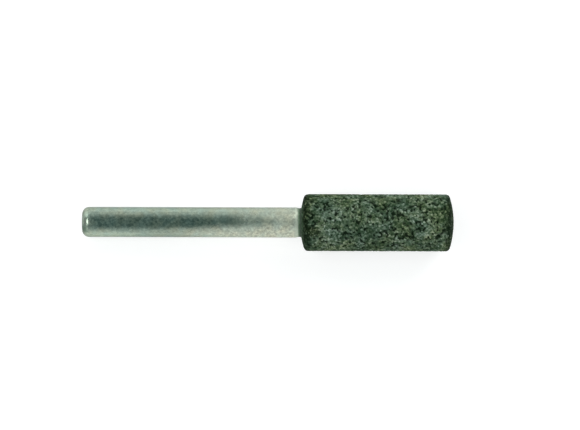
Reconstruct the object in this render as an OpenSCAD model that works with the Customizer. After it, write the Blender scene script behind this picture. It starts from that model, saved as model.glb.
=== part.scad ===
// Mounted point: a cylindrical abrasive head cemented on a turned steel spindle.
// The tool axis is the X axis. X starts at the flat drive end of the shank and runs to the tip of the head.
// Every solid is modelled standing on the Z axis, heights measured from the drive end, then laid along X.

/* [Shank] */
// Diameter of the shank that the collet grips
shank_d = 6; // [5.6:0.1:8]
// Length of the shank from its drive end to the shoulder behind the head
shank_length = 42.8; // [30:0.1:60]
// Radius of the rounded edge at the drive end
end_radius = 1.4; // [0.4:0.1:2]
// Length of the broken edge at the shoulder, along the axis
shoulder_break_length = 0.55; // [0.2:0.05:1]
// Depth of the broken edge at the shoulder, across the axis
shoulder_break_depth = 0.1; // [0.05:0.01:0.3]

/* [Tang] */
// Diameter over the crests of the straight knurl that is buried in the head
knurl_d = 4.6; // [3.6:0.1:5]
// Depth of the knurl teeth
knurl_depth = 0.25; // [0.1:0.05:0.4]
// Number of knurl teeth round the tang
knurl_teeth = 18; // [12:1:24]
// Step from the knurl roots down to the plain core of the tang
knurl_step = 0.1; // [0.05:0.05:0.3]
// Number of knurled bands along the tang
band_count = 2; // [1:1:3]
// Length of each knurled band
band_length = 5.5; // [3:0.5:6]
// Plain length between two knurled bands, which locks the cement lengthways
band_gap = 1.8; // [1:0.1:3]
// Plain length from the shoulder to the first knurled band
relief_length = 3; // [2:0.1:5]
// Plain pilot past the last knurled band
pilot_length = 1.5; // [1:0.1:3]
// Length of the chamfer at the end of the pilot
pilot_chamfer = 0.5; // [0.2:0.05:0.8]

/* [Head] */
// Diameter of the abrasive head
head_d = 11.25; // [9:0.05:16]
// Length of the head over its two domed ends
head_length = 30.4; // [27:0.1:40]
// Rise of each domed end, from the cylinder's rim to the middle
dome_height = 0.95; // [0.4:0.05:1.6]
// Radius of the rounded edge between a domed end and the cylinder
edge_radius = 0.9; // [0.3:0.05:1.4]

/* [Cement] */
// Distance from the shoulder to the middle of the head's back dome
seat_gap = 0.35; // [0.2:0.05:1]
// Thickness of the cement between the knurl crests and the wall of the bore
cement_wall = 0.3; // [0.15:0.05:0.5]
// Thickness of the cement past the end of the tang
cement_end = 0.6; // [0.3:0.1:1.5]
// Step from the edge of the shoulder down to the cement collar
collar_step = 0.02; // [0.02:0.01:0.2]

/* [Hidden] */
$fn = 96;

shank_r = shank_d / 2;
end_face_r = shank_r - end_radius;
shoulder_r = shank_r - shoulder_break_depth;

crest_r = knurl_d / 2;
root_r = crest_r - knurl_depth;
core_r = root_r - knurl_step;
band_pitch = band_length + band_gap;
tang_end = shank_length + relief_length + band_count * band_length + (band_count - 1) * band_gap + pilot_length;

head_r = head_d / 2;
head_back = shank_length + seat_gap;
head_tip = head_back + head_length;
// The dome's sphere passes through the corner that the rounded edge takes off.
dome_radius = (pow(head_r, 2) + pow(dome_height, 2)) / (2 * dome_height);
// The rounded edge is tangent to the dome's sphere and to the cylinder.
edge_centre_r = head_r - edge_radius;
edge_centre_drop = dome_radius - sqrt(pow(dome_radius - edge_radius, 2) - pow(edge_centre_r, 2));
dome_rim_r = edge_centre_r * dome_radius / (dome_radius - edge_radius);

bore_r = crest_r + cement_wall;
bore_end = tang_end + cement_end;
collar_r = shoulder_r - collar_step;

spindle_colour = [0.66, 0.70, 0.65];
cement_colour = [0.25, 0.31, 0.25];
head_colour = [0.27, 0.33, 0.26];

// Lays a solid that stands on the Z axis along the X axis
module along_x() {
    rotate([0, 90, 0]) children();
}

// Half section of the spindle without its knurl: rounded drive end, shank, broken shoulder edge, plain tang
module spindle_section() {
    square([end_face_r, end_radius]);
    intersection() {
        translate([end_face_r, end_radius]) circle(end_radius);
        translate([end_face_r, 0]) square(end_radius);
    }
    translate([0, end_radius]) square([shank_r, shank_length - shoulder_break_length - end_radius]);
    polygon([
        [0, shank_length - shoulder_break_length],
        [shank_r, shank_length - shoulder_break_length],
        [shoulder_r, shank_length],
        [0, shank_length]
    ]);
    polygon([
        [0, shank_length],
        [core_r, shank_length],
        [core_r, tang_end - pilot_chamfer],
        [core_r - pilot_chamfer, tang_end],
        [0, tang_end]
    ]);
}

// One band of straight knurl: alternate crests and roots round the tang
module knurl_band() {
    half_tooth = 180 / knurl_teeth;
    linear_extrude(band_length)
        polygon([
            for (i = [0 : 2 * knurl_teeth - 1])
                let (r = i % 2 == 0 ? crest_r : root_r)
                    [r * cos(i * half_tooth), r * sin(i * half_tooth)]
        ]);
}

// Spindle standing on the Z axis
module spindle_solid() {
    rotate_extrude() spindle_section();
    for (i = [0 : band_count - 1])
        translate([0, 0, shank_length + relief_length + i * band_pitch]) knurl_band();
}

// Half section of the head without its bore: cylinder, two domed ends, rounded edges
module head_section() {
    translate([0, head_back + edge_centre_drop]) square([head_r, head_length - 2 * edge_centre_drop]);
    intersection() {
        translate([0, head_back]) square([dome_rim_r, head_length]);
        translate([0, head_back + dome_radius]) circle(dome_radius);
        translate([0, head_tip - dome_radius]) circle(dome_radius);
    }
    for (height = [head_back + edge_centre_drop, head_tip - edge_centre_drop])
        translate([edge_centre_r, height]) circle(edge_radius);
}

// Half section of the blind bore that takes the tang and its cement
module bore_section() {
    translate([0, shank_length]) square([bore_r, bore_end - shank_length]);
}

module spindle() {
    color(spindle_colour) along_x() spindle_solid();
}

// The cement fills the bore round the tang and stands out behind the head as a short collar
module cement() {
    color(cement_colour) along_x() difference() {
        rotate_extrude() {
            bore_section();
            difference() {
                translate([0, shank_length]) square([collar_r, seat_gap + dome_height]);
                head_section();
            }
        }
        spindle_solid();
    }
}

module abrasive_head() {
    color(head_colour) along_x() rotate_extrude() difference() {
        head_section();
        bore_section();
    }
}

spindle();
cement();
abrasive_head();
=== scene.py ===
import math

import bmesh
import bpy
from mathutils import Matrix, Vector, noise


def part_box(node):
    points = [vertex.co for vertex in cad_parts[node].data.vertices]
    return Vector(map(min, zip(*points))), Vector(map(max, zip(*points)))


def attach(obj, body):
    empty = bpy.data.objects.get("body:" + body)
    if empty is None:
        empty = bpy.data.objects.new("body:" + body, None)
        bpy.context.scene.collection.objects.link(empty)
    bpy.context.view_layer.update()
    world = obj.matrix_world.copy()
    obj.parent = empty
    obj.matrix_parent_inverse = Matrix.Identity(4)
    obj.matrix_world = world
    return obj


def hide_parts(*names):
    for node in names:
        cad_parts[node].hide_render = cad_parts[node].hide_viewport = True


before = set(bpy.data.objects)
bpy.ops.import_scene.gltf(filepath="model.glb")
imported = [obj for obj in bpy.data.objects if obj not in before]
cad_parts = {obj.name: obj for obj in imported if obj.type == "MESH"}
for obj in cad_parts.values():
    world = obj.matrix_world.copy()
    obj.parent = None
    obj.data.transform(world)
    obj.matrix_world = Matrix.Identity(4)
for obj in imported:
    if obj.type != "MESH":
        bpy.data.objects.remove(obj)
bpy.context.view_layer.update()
mm = 0.001
weldDistance = 0.0001 * mm

# places along the tool axis and radii round it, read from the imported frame
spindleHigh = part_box("spindle")[1]
cementLow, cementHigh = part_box("cement")
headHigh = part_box("abrasive_head")[1]
shankRadius = spindleHigh.y
shoulderX = cementLow.x
tangEndX = spindleHigh.x
collarRadius = cementHigh.y
boreEndX = cementHigh.x
headRadius = headHigh.y
tipX = headHigh.x
print("frame read: tool length %.2f mm, head %.2f mm across" % (tipX / mm, 2 * headRadius / mm))


# outlines are drawn in the plane of X and the radius, then spun round X

def startPath(x, r):
    bm = bmesh.new()
    return bm, bm.verts.new((x, r, 0))


def vertsIn(geom):
    return [g for g in geom if isinstance(g, bmesh.types.BMVert)]


def lineTo(bm, vert, x, r, parts=1):
    step = (Vector((x, r, 0)) - vert.co) / parts
    for i in range(parts):
        made = bmesh.ops.extrude_vert_indiv(bm, verts=[vert])
        made["verts"][0].co = vert.co + step
        vert = made["verts"][0]
    return vert


def arcTo(bm, vert, centre, angle, parts):
    made = bmesh.ops.spin(bm, geom=[vert], cent=(centre[0], centre[1], 0), axis=(0, 0, 1),
                          angle=angle, steps=parts)
    return vertsIn(made["geom_last"])[0]


def spinRound(bm, steps):
    bmesh.ops.spin(bm, geom=bm.verts[:] + bm.edges[:], cent=(0, 0, 0), axis=(1, 0, 0),
                   angle=2 * math.pi, steps=steps, use_merge=True)
    bmesh.ops.remove_doubles(bm, verts=bm.verts, dist=weldDistance)
    bmesh.ops.recalc_face_normals(bm, faces=bm.faces)
    bm.normal_update()


def meshObject(bm, name, material):
    mesh = bpy.data.meshes.new(name)
    bm.to_mesh(mesh)
    bm.free()
    mesh.shade_smooth()
    mesh.materials.append(material)
    made = bpy.data.objects.new(name, mesh)
    bpy.context.scene.collection.objects.link(made)
    return made


def finishPiece(bm, name, node, material, sharpAngle):
    piece = meshObject(bm, name, material)
    piece.data.set_sharp_from_angle(angle=math.radians(sharpAngle))
    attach(piece, "root")
    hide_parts(node)
    print("%s: %d faces" % (name, len(piece.data.polygons)))


def smoothStep(low, high, value):
    t = min(1.0, max(0.0, (value - low) / (high - low)))
    return t * t * (3 - 2 * t)


# shader helpers

noiseLow = 0.3  # most of a noise lies between these two values
noiseHigh = 0.7


def newMaterial(name):
    mat = bpy.data.materials.new(name)
    mat.use_nodes = True
    tree = mat.node_tree
    shader = tree.nodes["Principled BSDF"]
    coords = tree.nodes.new("ShaderNodeTexCoord").outputs["Object"]
    return mat, tree, shader, coords


def opaque(colour):
    return (*colour, 1)


def addNode(tree, kind, inputs, **settings):
    made = tree.nodes.new(kind)
    for key, value in settings.items():
        setattr(made, key, value)
    for key, value in inputs.items():
        if isinstance(value, bpy.types.NodeSocket):
            tree.links.new(value, made.inputs[key])
        else:
            made.inputs[key].default_value = value
    return made


def noiseAt(tree, coords, scale, detail=3.0, rough=0.55, stretch=None):
    if stretch:
        coords = addNode(tree, "ShaderNodeMapping", {"Vector": coords, "Scale": stretch}).outputs["Vector"]
    made = addNode(tree, "ShaderNodeTexNoise", {"Vector": coords, "Scale": scale,
                                                "Detail": detail, "Roughness": rough})
    return made.outputs["Fac"]


def maths(tree, operation, a, b):
    return addNode(tree, "ShaderNodeMath", {0: a, 1: b}, operation=operation).outputs["Value"]


def rangeOf(tree, value, low, high, toLow, toHigh, curve="SMOOTHSTEP"):
    made = addNode(tree, "ShaderNodeMapRange", {"Value": value, "From Min": low, "From Max": high,
                                                "To Min": toLow, "To Max": toHigh}, interpolation_type=curve)
    return made.outputs["Result"]


def spreadNoise(tree, value, toLow, toHigh):
    return rangeOf(tree, value, noiseLow, noiseHigh, toLow, toHigh, "LINEAR")


def mixColours(tree, factor, a, b, blend="MIX"):
    # sockets 6 and 7 are the two colours of a Mix node, and output 2 is their mix
    made = addNode(tree, "ShaderNodeMix", {0: factor, 6: a, 7: b}, data_type="RGBA", blend_type=blend)
    return made.outputs[2]


def shadeColour(tree, colour, shade):
    return mixColours(tree, 1.0, colour, shade, "MULTIPLY")


def colourRamp(tree, factor, stops):
    made = addNode(tree, "ShaderNodeValToRGB", {"Fac": factor})
    ramp = made.color_ramp
    while len(ramp.elements) < len(stops):
        ramp.elements.new(1.0)
    for element, (place, colour) in zip(ramp.elements, stops):
        element.position = place
        element.color = opaque(colour)
    return made.outputs["Color"]


def attributeAt(tree, name):
    return addNode(tree, "ShaderNodeAttribute", {}, attribute_name=name).outputs["Fac"]


def addBump(tree, shader, height, distance, strength):
    made = addNode(tree, "ShaderNodeBump", {"Height": height, "Distance": distance, "Strength": strength})
    tree.links.new(made.outputs["Normal"], shader.inputs["Normal"])


# the tang that is buried in the head, shared by the spindle and the cement round it
tang = {
    "coreRadius": 1.95 * mm,
    "crestRadius": 2.3 * mm,
    "crestMargin": 0.001 * mm,
    "rootRadius": 2.05 * mm,
    "teeth": 18,
    "reliefLength": 3.0 * mm,
    "bandLength": 5.5 * mm,
    "bandGap": 1.8 * mm,
    "bandCount": 2,
    "pilotChamfer": 0.5 * mm,
    "spinSteps": 144,
}


def tangPath(bm, vert):
    for i in range(tang["bandCount"]):
        x0 = shoulderX + tang["reliefLength"] + i * (tang["bandLength"] + tang["bandGap"])
        x1 = x0 + tang["bandLength"]
        for x, r in ((x0, tang["coreRadius"]), (x0, tang["crestRadius"]),
                     (x1, tang["crestRadius"]), (x1, tang["coreRadius"])):
            vert = lineTo(bm, vert, x, r)
    vert = lineTo(bm, vert, tangEndX - tang["pilotChamfer"], tang["coreRadius"])
    return lineTo(bm, vert, tangEndX, tang["coreRadius"] - tang["pilotChamfer"])


def cutKnurl(bm):
    for v in bm.verts:
        r = math.hypot(v.co.y, v.co.z)
        onCrest = abs(r - tang["crestRadius"]) < tang["crestMargin"]
        if onCrest and shoulderX < v.co.x < tangEndX:
            turn = math.atan2(v.co.z, v.co.y) / (2 * math.pi) * tang["teeth"]
            wave = abs(2 * (turn - math.floor(turn)) - 1)  # 1 on a crest, 0 in a root
            wanted = tang["rootRadius"] + wave * (tang["crestRadius"] - tang["rootRadius"])
            v.co.y *= wanted / r
            v.co.z *= wanted / r


# spindle: the near side is towards -Y, the far side towards +Y
spindleLook = {
    "endRadius": 1.4 * mm,
    "endParts": 14,
    "breakLength": 0.55 * mm,
    "breakDepth": 0.1 * mm,
    "shankParts": 40,
    "sharpAngle": 25,
    # bare steel
    "steelDark": (0.266, 0.340, 0.277),
    "steelLight": (0.407, 0.497, 0.402),
    "mottleScale": 1900,
    "blotch": 0.07,
    "blotchScale": 700,
    "haze": 0.14,
    "roughness": (0.14, 0.155),
    "specularTint": (0.6, 0.6, 0.6),
    "cool": (0.955, 1.0, 1.03),
    "warm": (1.045, 0.995, 0.955),
    "filmScale": 450,
    "filmStops": (0.35, 0.65),
    "lineStretch": (5000, 120, 120),
    "lineDepth": 0.002 * mm,
    "lineStrength": 0.2,
    # near side darker over part of its length, far side darkened by painted shade
    "nearDarkAt": 16.5 * mm,
    "nearDarkHalf": 11 * mm,
    "nearSideDark": 0.74,
    "farSidePaintedShade": 0.91,
    "sideStart": 1.5 * mm,
    "sideEnd": 2.3 * mm,
    # drive end, with painted shade on its face
    "paintedEndShade": 0.7,
    "paintedEndShadeFrom": 0.25 * mm,
    "paintedEndShadeTo": 0.75 * mm,
    "endScuff": 0.14,
    "endScuffFrom": 0.5 * mm,
    "endScuffTo": 3.5 * mm,
    "endSpot": (0.4 * mm, -1.35 * mm, 2.1 * mm),
    "endSpotCore": 0.4 * mm,
    "endSpotRim": 1.25 * mm,
    "endSpotShade": (0.43, 0.49, 0.45),
    # worn edge, lightened as a painted highlight, and grime at the shoulder, with places measured from it
    "wornEdgeHighlight": (0.60, 0.67, 0.55),
    "wornHighlitFrom": -0.75 * mm,
    "wornHighlitTo": -0.45 * mm,
    "wornHighlitMost": 0.8,
    "wornRoughness": 0.22,
    "grime": (0.16, 0.23, 0.16),
    "grimeFrom": -0.3 * mm,
    "grimeTo": 0.15 * mm,
    "grimeMost": 0.5,
    "grimeTilt": 0.1,
    "smudge": 0.15 * mm,
    "smudgeScale": 1400,
    # dust from the bond
    "dust": (0.514, 0.553, 0.447),
    "dustDark": 0.58,
    "dustLight": 1.34,
    "dustScale": 2000,
    "dustRoughness": 0.30,
    "dustMetallic": 0.70,
    "dustStart": 23.5 * mm,
    "dustEnd": 48 * mm,
    "dustLeanNear": 9.2,
    "dustLeanFar": 2.0,
    "dustLeanMost": 12 * mm,
    "dustWander": 1.4 * mm,
    "wanderScale": 420,
    "dustFarSide": 0.60,
    "wipedFrom": 0.5 * mm,
    "wipedTo": 2.5 * mm,
}


def steelMaterial():
    look = spindleLook
    mat, tree, shader, coords = newMaterial("satinSteel")
    place = addNode(tree, "ShaderNodeSeparateXYZ", {"Vector": coords}).outputs
    # dust from the bond reaches down the shank, furthest along its sides
    near = maths(tree, "MULTIPLY", place["Y"], -look["dustLeanNear"])
    lean = maths(tree, "MAXIMUM", near, maths(tree, "MULTIPLY", place["Y"], look["dustLeanFar"]))
    reach = maths(tree, "ADD", place["X"], maths(tree, "MINIMUM", lean, look["dustLeanMost"]))
    patches = noiseAt(tree, coords, look["wanderScale"], detail=0.0)
    reach = maths(tree, "ADD", reach, spreadNoise(tree, patches, -look["dustWander"], look["dustWander"]))
    dust = rangeOf(tree, reach, look["dustStart"], look["dustEnd"], 0.0, 1.0)
    wiped = rangeOf(tree, place["Y"], look["wipedFrom"], look["wipedTo"], 1.0, look["dustFarSide"])
    dust = maths(tree, "MULTIPLY", dust, wiped)
    # bare steel, with painted shade on the drive end's face and a darker spot on that end
    mottle = noiseAt(tree, coords, look["mottleScale"], detail=2.0, rough=0.6)
    grain = spreadNoise(tree, mottle, 0.0, 1.0)
    steel = mixColours(tree, grain, opaque(look["steelDark"]), opaque(look["steelLight"]))
    # painted shade: the end face and its steep rounding are darkened
    stain = rangeOf(tree, place["X"], look["paintedEndShadeFrom"], look["paintedEndShadeTo"], look["paintedEndShade"], 1.0)
    steel = shadeColour(tree, steel, stain)
    fromSpot = addNode(tree, "ShaderNodeVectorMath", {0: coords, 1: look["endSpot"]}, operation="DISTANCE")
    spot = rangeOf(tree, fromSpot.outputs["Value"], look["endSpotCore"], look["endSpotRim"], 1.0, 0.0)
    steel = mixColours(tree, spot, steel, opaque(look["endSpotShade"]), "MULTIPLY")
    clouds = noiseAt(tree, coords, look["blotchScale"], detail=2.0)
    steel = shadeColour(tree, steel, spreadNoise(tree, clouds, 1 - look["blotch"], 1 + look["blotch"]))
    specks = noiseAt(tree, coords, look["dustScale"], detail=2.5, rough=0.65)
    darkDust = opaque([c * look["dustDark"] for c in look["dust"]])
    lightDust = opaque([c * look["dustLight"] for c in look["dust"]])
    dusty = mixColours(tree, spreadNoise(tree, specks, 0.0, 1.0), darkDust, lightDust)
    base = mixColours(tree, dust, steel, dusty)
    # the near side is darker over part of its length, and painted shade darkens the far side's reflection
    fromNearDark = maths(tree, "ABSOLUTE", maths(tree, "SUBTRACT", place["X"], look["nearDarkAt"]), 0.0)
    nearDarkMask = rangeOf(tree, fromNearDark, 0.0, look["nearDarkHalf"], 1.0, 0.0)
    nearSide = rangeOf(tree, place["Y"], -look["sideEnd"], -look["sideStart"], 1.0, 0.0)
    nearDarkMask = maths(tree, "MULTIPLY", nearDarkMask, nearSide)
    nearShade = rangeOf(tree, nearDarkMask, 0.0, 1.0, 1.0, look["nearSideDark"], "LINEAR")
    # painted shade: the far side of the shank is darkened
    farPaintedShade = rangeOf(tree, place["Y"], look["sideStart"], look["sideEnd"], 1.0, look["farSidePaintedShade"])
    base = shadeColour(tree, base, maths(tree, "MULTIPLY", nearShade, farPaintedShade))
    film = noiseAt(tree, coords, look["filmScale"], detail=1.0)
    coolAt, warmAt = look["filmStops"]
    base = shadeColour(tree, base, colourRamp(tree, film, [(coolAt, look["cool"]), (warmAt, look["warm"])]))
    # worn edge at the shoulder, its brightness a painted highlight, then grime against the cement
    wornAndHighlit = rangeOf(tree, place["X"], shoulderX + look["wornHighlitFrom"], shoulderX + look["wornHighlitTo"],
                   0.0, look["wornHighlitMost"])
    base = mixColours(tree, wornAndHighlit, base, opaque(look["wornEdgeHighlight"]))
    smudges = noiseAt(tree, coords, look["smudgeScale"], detail=2.0)
    smudge = spreadNoise(tree, smudges, -look["smudge"], look["smudge"])
    tilt = maths(tree, "MULTIPLY", place["Y"], look["grimeTilt"])
    grime = maths(tree, "ADD", maths(tree, "ADD", place["X"], smudge), tilt)
    grime = rangeOf(tree, grime, shoulderX + look["grimeFrom"], shoulderX + look["grimeTo"],
                    0.0, look["grimeMost"])
    base = mixColours(tree, grime, base, opaque(look["grime"]))
    tree.links.new(base, shader.inputs["Base Color"])
    bare = rangeOf(tree, grain, 0.0, 1.0, 1.0, 1 - look["haze"], "LINEAR")
    dustFree = rangeOf(tree, dust, 0.0, 1.0, 1.0, look["dustMetallic"], "LINEAR")
    tree.links.new(maths(tree, "MULTIPLY", bare, dustFree), shader.inputs["Metallic"])
    polish = rangeOf(tree, grain, 0.0, 1.0, *look["roughness"], "LINEAR")
    dull = maths(tree, "MULTIPLY", dust, look["dustRoughness"])
    scuff = rangeOf(tree, place["X"], look["endScuffFrom"], look["endScuffTo"], look["endScuff"], 0.0)
    dull = maths(tree, "ADD", dull, scuff)
    dull = maths(tree, "ADD", dull, maths(tree, "MULTIPLY", wornAndHighlit, look["wornRoughness"]))
    tree.links.new(maths(tree, "ADD", polish, dull), shader.inputs["Roughness"])
    shader.inputs["Specular Tint"].default_value = opaque(look["specularTint"])
    # faint rings left by grinding
    lines = noiseAt(tree, coords, 1.0, detail=1.0, rough=0.5, stretch=look["lineStretch"])
    addBump(tree, shader, lines, look["lineDepth"], look["lineStrength"])
    return mat


def makeSpindle():
    look = spindleLook
    bm, v = startPath(0, 0)
    v = lineTo(bm, v, 0, shankRadius - look["endRadius"])
    v = arcTo(bm, v, (look["endRadius"], shankRadius - look["endRadius"]), -math.pi / 2, look["endParts"])
    v = lineTo(bm, v, shoulderX - look["breakLength"], shankRadius, look["shankParts"])
    v = lineTo(bm, v, shoulderX, shankRadius - look["breakDepth"])
    v = lineTo(bm, v, shoulderX, tang["coreRadius"])
    v = tangPath(bm, v)
    lineTo(bm, v, tangEndX, 0)
    spinRound(bm, tang["spinSteps"])
    cutKnurl(bm)
    finishPiece(bm, "spindle_turned", "spindle", steelMaterial(), look["sharpAngle"])


# abrasive head: domes and rounded edges, and grit whose grains move and tone the outer vertices
headLook = {
    "domeHeight": 0.95 * mm,
    "edgeRadius": 0.9 * mm,
    "seatGap": 0.35 * mm,
    "boreRadius": 2.6 * mm,
    "spinSteps": 300,
    "cylinderParts": 216,
    "edgeParts": 9,
    "domePart": 0.15 * mm,
    "sharpAngle": 180,
    # grains
    "seed": 5,
    "grain": 0.43 * mm,
    "drift": 0.11 * mm,
    "driftPitch": 0.5 * mm,
    "chanceShift": (31, 57, 83),
    "leanShift": (7, 19, 43),
    "meanChance": 0.5,
    "seam": 0.22,
    "proud": 0.07 * mm,
    "facetDepth": 0.09 * mm,
    "facetLevel": 0.45,
    "seamDepth": 0.05 * mm,
    # pores, near-black: partly bond, partly painted shade in the holes
    "poreShare": 0.272,
    "poreSoft": 0.30,
    "poreDepth": 0.28 * mm,
    "poreShallow": 0.6,
    "porePale": 0.8,
    # tones of the grains
    "toneLow": 0.04,
    "toneSpan": 0.86,
    "toneLean": 0.4,
    "toneSeam": 0.7,
    "chipScale": 3800,
    "chipTone": 0.25,
    "patchScale": 172,
    "patchTone": 0.20,
    "dark": (0.0200, 0.0428, 0.0195),
    "middle": (0.0745, 0.1154, 0.0670),
    "middleAt": 0.45,
    "pale": (0.171, 0.226, 0.152),
    "paleAt": 0.85,
    "glint": (0.29, 0.352, 0.262),
    "poreBondAndShade": (0.0028, 0.0095, 0.0033),
    "cool": (0.955, 1.0, 1.12),
    "warm": (1.04, 1.0, 0.84),
    "tintStops": (0.25, 0.5, 0.75),
    "grainWarmth": 0.1,
    "stainWarmth": 0.9,
    "stainScale": 260,
    "shineFrom": 0.5,
    "roughness": (0.70, 0.40),
    "specular": 0.03,
    "fineScale": 6000,
    "fineDepth": 0.05 * mm,
    "fineStrength": 0.5,
    # dark skin on the ends, with a tongue on the cylinder: partly the mould's skin, partly painted shade
    # where the ends face away from the light
    "backSkin": 0.15 * mm,
    "tipSkin": -0.1 * mm,
    "tongue": (-2.0 * mm, 5.2 * mm),
    "tongueWide": 2.0 * mm,
    "tongueLong": 2.3 * mm,
    "skinRagged": 0.9 * mm,
    "skinPitch": 1.4 * mm,
    "skinFade": 0.6 * mm,
    "tipRagged": 0.5,
    "skinShade": (0.150, 0.195, 0.140),
    "skinWorn": 0.5,
    "skinWornFrom": 0.7,
    "skinPale": 0.4,
    "skinFlat": 0.35,
    # cement smeared on the back dome
    "smearWide": 2.4 * mm,
    "smearRagged": 0.4,
    "smearFlat": 0.4,
    "smearDark": (0.040, 0.072, 0.038),
    "smearLight": (0.125, 0.203, 0.121),
    "smearStops": (0.35, 0.7),
    "smearThin": 0.4,
    "cakedScale": 1500,
    "cakedFrom": 0.35,
    "cakedTo": 0.6,
    # smooth ring that the cement covers
    "boreMargin": 0.1 * mm,
    "boreFade": 0.5 * mm,
}
headBackX = shoulderX + headLook["seatGap"]
domeRadius = (headRadius ** 2 + headLook["domeHeight"] ** 2) / (2 * headLook["domeHeight"])
# the rounded edge is tangent to the cylinder, and to the dome where edgeAngle says
edgeCentreR = headRadius - headLook["edgeRadius"]
edgeAngle = math.asin(edgeCentreR / (domeRadius - headLook["edgeRadius"]))
edgeCentreDrop = domeRadius - (domeRadius - headLook["edgeRadius"]) * math.cos(edgeAngle)
boreAngle = math.asin(headLook["boreRadius"] / domeRadius)


def domeX(r):
    return headBackX + domeRadius - math.sqrt(domeRadius ** 2 - r ** 2)


def gritMaterial():
    look = headLook
    mat, tree, shader, coords = newMaterial("greenGrit")
    tone = attributeAt(tree, "grainTone")
    hue = attributeAt(tree, "grainHue")
    pit = attributeAt(tree, "pit")
    skinAndShade = attributeAt(tree, "skinAndShade")
    smear = attributeAt(tree, "smear")
    # grains of many tones, with small chips on them and broad pale and dark patches; the palest tone, glint,
    # paints glints into the colour
    chips = addNode(tree, "ShaderNodeTexVoronoi", {"Vector": coords, "Scale": look["chipScale"]})
    chip = addNode(tree, "ShaderNodeSeparateColor", {"Color": chips.outputs["Color"]}).outputs["Red"]
    chipTone = rangeOf(tree, chip, 0.0, 1.0, -look["chipTone"], look["chipTone"], "LINEAR")
    patches = noiseAt(tree, coords, look["patchScale"], detail=1.0)
    speckled = maths(tree, "ADD", tone, chipTone)
    speckled = maths(tree, "ADD", speckled, spreadNoise(tree, patches, -look["patchTone"], look["patchTone"]))
    grains = colourRamp(tree, speckled, [(0.0, look["dark"]), (look["middleAt"], look["middle"]),
                                         (look["paleAt"], look["pale"]), (1.0, look["glint"])])
    stain = spreadNoise(tree, noiseAt(tree, coords, look["stainScale"], detail=4.0), 0.0, 1.0)
    warmth = maths(tree, "ADD", maths(tree, "MULTIPLY", hue, look["grainWarmth"]),
                   maths(tree, "MULTIPLY", stain, look["stainWarmth"]))
    coolAt, plainAt, warmAt = look["tintStops"]
    tint = colourRamp(tree, warmth, [(coolAt, look["cool"]), (plainAt, (1, 1, 1)), (warmAt, look["warm"])])
    grains = shadeColour(tree, grains, tint)
    # the skin, partly the mould's and partly painted shade, darkens the grains, and is thinner on the palest
    # chips
    wornSkin = rangeOf(tree, chip, look["skinWornFrom"], 1.0, 1.0, look["skinWorn"], "LINEAR")
    skinAndShade = maths(tree, "MULTIPLY", skinAndShade, wornSkin)
    grains = mixColours(tree, skinAndShade, grains, opaque(look["skinShade"]), "MULTIPLY")
    # pores take a near-black colour, partly bond and partly painted shade in the holes
    grains = mixColours(tree, pit, grains, opaque(look["poreBondAndShade"]))
    # cement is caked on the back dome, and the grains show where it is thin
    caked = noiseAt(tree, coords, look["cakedScale"], detail=3.0, rough=0.6)
    cover = rangeOf(tree, caked, look["cakedFrom"], look["cakedTo"], look["smearThin"], 1.0)
    smear = maths(tree, "MULTIPLY", smear, cover)
    darkAt, lightAt = look["smearStops"]
    smeared = colourRamp(tree, caked, [(darkAt, look["smearDark"]), (lightAt, look["smearLight"])])
    tree.links.new(mixColours(tree, smear, grains, smeared), shader.inputs["Base Color"])
    gloss = rangeOf(tree, tone, look["shineFrom"], 1.0, *look["roughness"], "LINEAR")
    tree.links.new(maths(tree, "MAXIMUM", gloss, pit), shader.inputs["Roughness"])
    shader.inputs["Specular IOR Level"].default_value = look["specular"]
    fine = noiseAt(tree, coords, look["fineScale"], detail=3.0, rough=0.6)
    addBump(tree, shader, fine, look["fineDepth"], look["fineStrength"])
    return mat


def fromTo(low, high, share):
    return low + (high - low) * share


def grainAt(p):
    look = headLook
    drift = noise.noise_vector(p / look["driftPitch"]) * look["drift"]
    q = (p + drift) / look["grain"]
    far, cells = noise.voronoi(q)
    chance = noise.cell_vector(cells[0] + Vector(look["chanceShift"]))
    nextChance = noise.cell_vector(cells[1] + Vector(look["chanceShift"]))
    lean = noise.cell_vector(cells[0] + Vector(look["leanShift"])) - Vector([look["meanChance"]] * 3)
    border = far[1] - far[0]  # 0 where two grains meet
    seam = min(1.0, border / look["seam"])
    slope = (q - cells[0]).dot(lean)
    pit = 0.0
    if chance.x < look["poreShare"]:
        # a pore is a missing grain, and two that meet run together
        pit = 1.0 if nextChance.x < look["poreShare"] else smoothStep(0.0, look["poreSoft"], border)
    tone = look["toneLow"] + look["toneSpan"] * chance.y + look["toneLean"] * slope
    tone *= fromTo(look["toneSeam"], 1.0, seam)
    depth = max(0.0, look["facetDepth"] * (look["facetLevel"] - slope))
    depth += look["seamDepth"] * (1 - seam) * (1 - pit)
    depth += look["poreDepth"] * pit * fromTo(look["poreShallow"], 1.0, chance.z) - look["proud"]
    return depth, tone, chance.z, pit * fromTo(look["porePale"], 1.0, chance.z)


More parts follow.
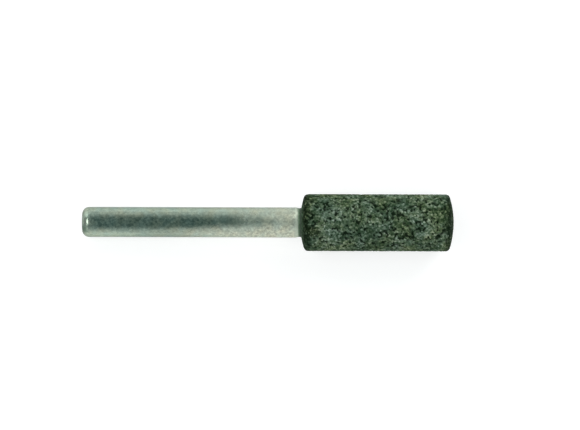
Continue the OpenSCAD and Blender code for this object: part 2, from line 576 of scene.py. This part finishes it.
def makeHead():
    look = headLook
    bm, v = startPath(boreEndX, 0)
    v = lineTo(bm, v, boreEndX, look["boreRadius"])
    v = lineTo(bm, v, domeX(look["boreRadius"]), look["boreRadius"])
    backParts = round(domeRadius * (edgeAngle - boreAngle) / look["domePart"])
    v = arcTo(bm, v, (headBackX + domeRadius, 0), boreAngle - edgeAngle, backParts)
    v = arcTo(bm, v, (headBackX + edgeCentreDrop, edgeCentreR), edgeAngle - math.pi / 2, look["edgeParts"])
    v = lineTo(bm, v, tipX - edgeCentreDrop, headRadius, look["cylinderParts"])
    v = arcTo(bm, v, (tipX - edgeCentreDrop, edgeCentreR), edgeAngle - math.pi / 2, look["edgeParts"])
    frontParts = round(domeRadius * edgeAngle / look["domePart"])
    arcTo(bm, v, (tipX - domeRadius, 0), -edgeAngle, frontParts)
    spinRound(bm, look["spinSteps"])
    tones = bm.verts.layers.float.new("grainTone")
    hues = bm.verts.layers.float.new("grainHue")
    pits = bm.verts.layers.float.new("pit")
    skinAndShadeLayer = bm.verts.layers.float.new("skinAndShade")
    smears = bm.verts.layers.float.new("smear")
    noise.seed_set(look["seed"])  # noise_vector starts from the clock without it
    moves = []
    for vert in bm.verts:
        r = math.hypot(vert.co.y, vert.co.z)
        nearBore = 1.0
        if vert.co.x < boreEndX + look["boreMargin"]:
            nearBore = smoothStep(collarRadius, collarRadius + look["boreFade"], r)
        if nearBore == 0.0:
            continue
        depth, vert[tones], vert[hues], pit = grainAt(vert.co)
        # the ends keep a dark skin, partly the mould's and partly painted shade, and its border on the trued
        # cylinder is ragged
        chance = vert[hues] - look["meanChance"]
        ragged = (noise.noise(vert.co / look["skinPitch"]) + chance) * look["skinRagged"]
        fromTongue = math.hypot(vert.co.y - look["tongue"][0], vert.co.z - look["tongue"][1])
        reach = look["backSkin"] + look["tongueLong"] * (1 - smoothStep(0, look["tongueWide"], fromTongue))
        fromBack = vert.co.x - headBackX - edgeCentreDrop - reach + ragged
        fromTip = tipX - edgeCentreDrop - look["tipSkin"] - vert.co.x + look["tipRagged"] * ragged
        skinAndShade = 1 - smoothStep(-look["skinFade"], look["skinFade"], min(fromBack, fromTip))
        vert[pits] = pit * (1 - look["skinPale"] * skinAndShade)
        vert[skinAndShadeLayer] = skinAndShade
        smear = 0.0
        if vert.co.x < headBackX + edgeCentreDrop:
            smearR = r + look["smearRagged"] * ragged
            smear = 1 - smoothStep(collarRadius, collarRadius + look["smearWide"], smearR)
        vert[smears] = smear
        relief = nearBore * (1 - look["skinFlat"] * skinAndShade) * (1 - look["smearFlat"] * smear)
        moves.append((vert, -vert.normal * depth * relief))
    for vert, move in moves:
        vert.co += move
    finishPiece(bm, "grit_head", "abrasive_head", gritMaterial(), look["sharpAngle"])


# cement: a dark collar behind the head, and the sleeve of bond round the tang
cementLook = {
    "neckIn": 0.04 * mm,
    "neckParts": 3,
    "lip": 0.1 * mm,
    "flare": 0.24 * mm,
    "flareParts": 5,
    "lump": 0.05 * mm,
    "lumpPitch": 0.6 * mm,
    "lumpFromBore": 0.1 * mm,
    "lumpFromShoulder": 0.01 * mm,
    "sharpAngle": 35,
    "dark": (0.042, 0.078, 0.040),
    "light": (0.118, 0.184, 0.113),
    "grainScale": 4500,
    "patchScale": 900,
    "patchFrom": 0.4,
    "patchTo": 0.7,
    "patchMost": 0.5,
    "paleAtShoulder": 2.4,
    "deepShade": 0.58,
    "deepAt": 0.38 * mm,
    "roughness": 0.7,
    "grainDepth": 0.05 * mm,
    "grainStrength": 0.5,
}


def cementMaterial():
    look = cementLook
    mat, tree, shader, coords = newMaterial("bondCement")
    grain = noiseAt(tree, coords, look["grainScale"], detail=4.0, rough=0.65)
    colour = colourRamp(tree, grain, [(noiseLow, look["dark"]), (noiseHigh, look["light"])])
    # paler against the shoulder, and painted shade darkens it where it meets the head
    along = addNode(tree, "ShaderNodeSeparateXYZ", {"Vector": coords}).outputs["X"]
    deep = rangeOf(tree, along, shoulderX, shoulderX + look["deepAt"], look["paleAtShoulder"], look["deepShade"])
    colour = shadeColour(tree, colour, deep)
    patches = noiseAt(tree, coords, look["patchScale"], detail=3.0)
    patch = rangeOf(tree, patches, look["patchFrom"], look["patchTo"], 0.0, look["patchMost"])
    colour = mixColours(tree, patch, colour, opaque(look["dark"]))
    tree.links.new(colour, shader.inputs["Base Color"])
    shader.inputs["Roughness"].default_value = look["roughness"]
    addBump(tree, shader, grain, look["grainDepth"], look["grainStrength"])
    return mat


def makeCement():
    look = cementLook
    boreRadius = headLook["boreRadius"]
    flareRadius = collarRadius + look["flare"]
    bm, v = startPath(tangEndX, 0)
    v = lineTo(bm, v, boreEndX, 0)
    v = lineTo(bm, v, boreEndX, boreRadius)
    v = lineTo(bm, v, domeX(boreRadius), boreRadius)
    v = lineTo(bm, v, domeX(flareRadius), flareRadius)
    flareCentre = (domeX(flareRadius) - look["flare"], flareRadius)
    v = arcTo(bm, v, flareCentre, -math.pi / 2, look["flareParts"])
    v = lineTo(bm, v, shoulderX + look["lip"], collarRadius - look["neckIn"], look["neckParts"])
    v = lineTo(bm, v, shoulderX, collarRadius)
    v = lineTo(bm, v, shoulderX, tang["coreRadius"])
    v = tangPath(bm, v)
    lineTo(bm, v, tangEndX, 0)
    spinRound(bm, tang["spinSteps"])
    cutKnurl(bm)
    for vert in bm.verts:
        r = math.hypot(vert.co.y, vert.co.z)
        outsideBore = r > boreRadius + look["lumpFromBore"]
        if outsideBore and vert.co.x > shoulderX + look["lumpFromShoulder"]:
            lump = noise.noise(vert.co / look["lumpPitch"]) * look["lump"]
            vert.co.y *= 1 + lump / r
            vert.co.z *= 1 + lump / r
    finishPiece(bm, "cement_collar", "cement", cementMaterial(), look["sharpAngle"])


# floor: white paper that lies a little higher under the shank than under the head, so that both lie on it
floorLook = {
    "half": 2.0,
    "gap": 0.07 * mm,
    "colour": (0.50, 0.50, 0.50),
    "roughness": 0.9,
    "lift": 0.66,
    "liftFar": 1.0,
    "nearRing": 0.15,
    "farRing": 0.6,
}


def makeFloor():
    look = floorLook
    bm = bmesh.new()
    end = bm.verts.new((-look["half"], -look["half"], -shankRadius - look["gap"]))
    for x, z in ((spindleLook["endRadius"], -shankRadius), (headBackX + edgeCentreDrop, -headRadius),
                 (look["half"], -headRadius)):
        end = bmesh.ops.extrude_vert_indiv(bm, verts=[end])["verts"][0]
        end.co = (x, -look["half"], z - look["gap"])
    swept = bmesh.ops.extrude_edge_only(bm, edges=bm.edges[:])
    bmesh.ops.translate(bm, verts=vertsIn(swept["geom"]), vec=(0, 2 * look["half"], 0))
    bmesh.ops.recalc_face_normals(bm, faces=bm.faces)
    mat, tree, shader, coords = newMaterial("whitePaper")
    shader.inputs["Base Color"].default_value = opaque(look["colour"])
    shader.inputs["Roughness"].default_value = look["roughness"]
    shader.inputs["Specular IOR Level"].default_value = 0.0
    shader.inputs["Emission Color"].default_value = (1, 1, 1, 1)
    # the paper's own glow shows to the camera and in the steel, but lights nothing
    rays = tree.nodes.new("ShaderNodeLightPath").outputs
    seen = maths(tree, "MAXIMUM", rays["Is Camera Ray"], rays["Is Glossy Ray"])
    seen = maths(tree, "MAXIMUM", seen, rays["Is Transmission Ray"])
    away = addNode(tree, "ShaderNodeVectorMath", {0: coords}, operation="LENGTH").outputs["Value"]
    lift = rangeOf(tree, away, look["nearRing"], look["farRing"], look["lift"], look["liftFar"])
    tree.links.new(maths(tree, "MULTIPLY", seen, lift), shader.inputs["Emission Strength"])
    meshObject(bm, "floor", mat)
    print("floor laid")


# light: four soft lamps low at the corners, a small one over the drive end, and a room that is pale
# low down at the sides and darker overhead
lightLook = {
    "lamps": (  # name, direction from the tool, width and length in metres, radiance
        ("softBackLeft", (-0.55, 0.72, 0.43), (0.46, 0.70), 0.73),
        ("softBackRight", (0.55, 0.72, 0.43), (0.46, 0.70), 3.95),
        ("softFrontLeft", (-0.55, -0.72, 0.43), (0.46, 0.70), 0.375),
        ("softFrontRight", (0.55, -0.72, 0.43), (0.46, 0.70), 1.97),
        ("smallLeft", (-0.47, 0.03, 0.88), (0.50, 0.24), 5.0),
    ),
    "lampFar": 0.8,
    "roomSide": 0.85,
    "roomSideFrom": 0.2,
    "roomSideTo": 0.7,
    "roomEnd": 0.36,
    "ceiling": (0.096, 0.151, 0.154),
    "ceilingFrom": 0.10,
    "ceilingTo": 1.0,
    "skylineFrom": 0.05,
    "skylineTo": 0.09,
}


def makeLights():
    look = lightLook
    for name, toLamp, (width, length), radiance in look["lamps"]:
        data = bpy.data.lights.new(name, "AREA")
        data.shape = "RECTANGLE"
        data.size = width
        data.size_y = length
        data.energy = radiance * math.pi * width * length
        lamp = bpy.data.objects.new(name, data)
        ray = Vector(toLamp).normalized()
        lamp.location = Vector((tipX / 2, 0, 0)) + ray * look["lampFar"]
        lamp.rotation_euler = ray.to_track_quat("Z", "Y").to_euler()
        lamp.visible_camera = False
        bpy.context.scene.collection.objects.link(lamp)
    world = bpy.data.worlds.new("room")
    bpy.context.scene.world = world
    world.use_nodes = True
    tree = world.node_tree
    direction = tree.nodes.new("ShaderNodeTexCoord").outputs["Generated"]
    part = addNode(tree, "ShaderNodeSeparateXYZ", {"Vector": direction}).outputs
    side = maths(tree, "ABSOLUTE", part["Y"], 0.0)
    walls = rangeOf(tree, side, look["roomSideFrom"], look["roomSideTo"], look["roomEnd"], look["roomSide"])
    high = rangeOf(tree, part["Z"], look["ceilingFrom"], look["ceilingTo"], 0.0, 1.0)
    level = mixColours(tree, high, walls, opaque(look["ceiling"]))
    skyline = rangeOf(tree, part["Z"], look["skylineFrom"], look["skylineTo"], 1.0, 0.0)
    level = mixColours(tree, skyline, level, (1, 1, 1, 1))
    tree.links.new(level, tree.nodes["Background"].inputs["Color"])
    print("lights set")


# camera: straight down on the tool, as far and as turned as the photograph shows it
photoView = {
    "widthPx": 580,
    "heightPx": 430,
    "driveEndPx": (81.75, 221.4),
    "tipPx": (453.05, 222.45),
    "lens": 300.0,
    "sensor": 36.0,
    "clipEnd": 20.0,
}


def makeCamera():
    look = photoView
    x0, y0 = look["driveEndPx"]
    x1, y1 = look["tipPx"]
    scale = math.hypot(x1 - x0, y1 - y0) / tipX  # pixels per metre
    roll = math.atan2(y1 - y0, x1 - x0)
    # from the drive end to the picture's middle, in pixels, then turned into the tool's own axes
    right = (look["widthPx"] - 1) / 2 - x0
    up = y0 - (look["heightPx"] - 1) / 2
    data = bpy.data.cameras.new("photoCamera")
    data.lens = look["lens"]
    data.sensor_width = look["sensor"]
    data.clip_end = look["clipEnd"]
    camera = bpy.data.objects.new("photoCamera", data)
    far = look["lens"] / look["sensor"] * look["widthPx"] / scale
    camera.location = ((right * math.cos(roll) - up * math.sin(roll)) / scale,
                       (right * math.sin(roll) + up * math.cos(roll)) / scale, far)
    camera.rotation_euler = (0, 0, roll)
    bpy.context.scene.collection.objects.link(camera)
    bpy.context.scene.camera = camera
    print("camera %.0f mm away, %.3f pixels per mm" % (far / mm, scale * mm))


makeCamera()
makeFloor()
makeLights()
makeSpindle()
makeCement()
makeHead()

bpy.context.scene.view_settings.view_transform = "Standard"
